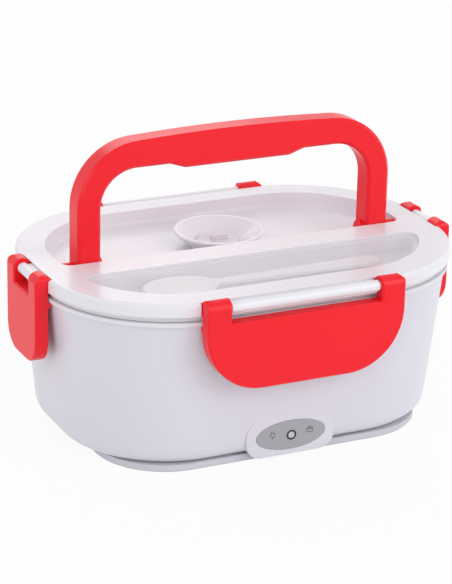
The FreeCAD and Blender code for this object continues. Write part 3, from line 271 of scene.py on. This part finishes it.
# Spoon: a pale moulded plastic spoon with a round bowl and a flat stem.
# It lies loose in the front well of the lid, under the clear cover.
spoon_white = moulded("spoon_white", (0.93, 0.92, 0.94), (0.90, 0.89, 0.91), (0.3, 0.4))
finish_node("spoon", spoon_white)

# Spoon cover: a flat plate of clear plastic with a faint milky cast, moulded with a smooth face.
# It drops into the step round the front well.
milky_clear = moulded("milky_clear", (0.95, 0.94, 0.97), (0.93, 0.92, 0.95), (0.20, 0.28), bump=0.004, specular=0.4)
shader_of(milky_clear).inputs["Alpha"].default_value = 0.24
shader_of(milky_clear).inputs["IOR"].default_value = 1.46
finish_node("spoon_cover", milky_clear)

# Handle and latches: bright red plastic, moulded with a low satin gloss.
# The handle's two stubs spring into bores in the lid, and each latch clips round a white rod of the lid
# and pulls its hook up under the flange of the liner.
bright_red = moulded("bright_red", (0.92, 0.018, 0.030), (0.88, 0.014, 0.024), (0.20, 0.28), specular=0.2)
for node in ("handle", "front_latch", "rear_latch", "left_latch", "right_latch"):
    finish_node(node, bright_red)


# Studio: a pale floor that keeps the shadow, with a white room all round it.
# Three soft boxes stand in front, at the left and behind, at a plain level.
def seen_directly(nodes, links):
    """One for rays from the camera, off a gloss or through a clear piece, and zero for other light."""
    rays = nodes.new("ShaderNodeLightPath")
    seen = nodes.new("ShaderNodeMath")
    seen.operation = "MAXIMUM"
    links.new(rays.outputs["Is Camera Ray"], seen.inputs[0])
    links.new(rays.outputs["Is Glossy Ray"], seen.inputs[1])
    seen_through = nodes.new("ShaderNodeMath")
    seen_through.operation = "MAXIMUM"
    links.new(seen.outputs[0], seen_through.inputs[0])
    links.new(rays.outputs["Is Transmission Ray"], seen_through.inputs[1])
    return seen_through.outputs[0]


def soft_light(name, place, size, power):
    """A square soft box aimed at the middle of the food warmer."""
    data = bpy.data.lights.new(name, "AREA")
    data.shape = "SQUARE"
    data.size = size
    data.energy = power
    lamp = bpy.data.objects.new(name, data)
    lamp.location = place
    lamp.rotation_euler = (Vector((0, 0, 0.08)) - Vector(place)).to_track_quat("-Z", "Y").to_euler()
    bpy.context.collection.objects.link(lamp)


floor_mesh = bmesh.new()
bmesh.ops.create_grid(floor_mesh, x_segments=1, y_segments=1, size=6.0)
floor_data = bpy.data.meshes.new("floor")
floor_mesh.to_mesh(floor_data)
floor_mesh.free()
floor = bpy.data.objects.new("floor", floor_data)
bpy.context.collection.objects.link(floor)
floor_pale = bpy.data.materials.new("floor_pale")
floor_pale.use_nodes = True
nodes, links = floor_pale.node_tree.nodes, floor_pale.node_tree.links
floor_shader = shader_of(floor_pale)
floor_shader.inputs["Base Color"].default_value = (0.9, 0.9, 0.9, 1.0)
floor_shader.inputs["Roughness"].default_value = 0.9
floor_shader.inputs["Specular IOR Level"].default_value = 0.0
glow = nodes.new("ShaderNodeEmission")
glow.inputs["Strength"].default_value = 1.0
glow_share = nodes.new("ShaderNodeMath")
glow_share.operation = "MULTIPLY"
glow_share.inputs[1].default_value = 0.92
links.new(seen_directly(nodes, links), glow_share.inputs[0])
blend = nodes.new("ShaderNodeMixShader")
links.new(glow_share.outputs[0], blend.inputs[0])
links.new(floor_shader.outputs[0], blend.inputs[1])
links.new(glow.outputs[0], blend.inputs[2])
links.new(blend.outputs[0], nodes["Material Output"].inputs["Surface"])
floor.data.materials.append(floor_pale)

world = bpy.data.worlds.new("white_room")
bpy.context.scene.world = world
world.use_nodes = True
nodes, links = world.node_tree.nodes, world.node_tree.links
fill = nodes["Background"]
fill.inputs["Color"].default_value = (0.96, 0.97, 1.0, 1.0)
fill.inputs["Strength"].default_value = 0.72
white = nodes.new("ShaderNodeBackground")
white.inputs["Color"].default_value = (1.0, 1.0, 1.0, 1.0)
white.inputs["Strength"].default_value = 1.0
blend = nodes.new("ShaderNodeMixShader")
links.new(seen_directly(nodes, links), blend.inputs[0])
links.new(fill.outputs[0], blend.inputs[1])
links.new(white.outputs[0], blend.inputs[2])
links.new(blend.outputs[0], nodes["World Output"].inputs["Surface"])

soft_light("key_light", (0.9, -1.2, 0.8), 1.0, 8.2)
soft_light("side_light", (-1.2, -0.6, 0.6), 0.9, 3.4)
soft_light("back_light", (0.2, 1.1, 0.9), 0.8, 2.8)

# Camera: a long lens from the left and above, as the photograph was taken.
# It is turned by a little over one degree, and aimed just above the middle of the base.
azimuth, elevation, roll = math.radians(-25.79), math.radians(20.47), math.radians(1.28)
aim, distance, shift_right, shift_up = Vector((0, 0, 0.055)), 1.2925, -0.0035, 0.01239
back = Vector((math.sin(azimuth) * math.cos(elevation), -math.cos(azimuth) * math.cos(elevation),
               math.sin(elevation)))
level = Vector((math.cos(azimuth), math.sin(azimuth), 0.0))
upright = back.cross(level)
right = level * math.cos(roll) + upright * math.sin(roll)
up = upright * math.cos(roll) - level * math.sin(roll)
eye = aim + back * distance + right * shift_right + up * shift_up
camera_data = bpy.data.cameras.new("photo_camera")
camera_data.sensor_width = 36.0
camera_data.lens = 144.03
camera = bpy.data.objects.new("photo_camera", camera_data)
camera.matrix_world = Matrix((
    (right.x, up.x, back.x, eye.x),
    (right.y, up.y, back.y, eye.y),
    (right.z, up.z, back.z, eye.z),
    (0.0, 0.0, 0.0, 1.0),
))
bpy.context.collection.objects.link(camera)
bpy.context.scene.camera = camera
bpy.context.scene.view_settings.view_transform = "Standard"
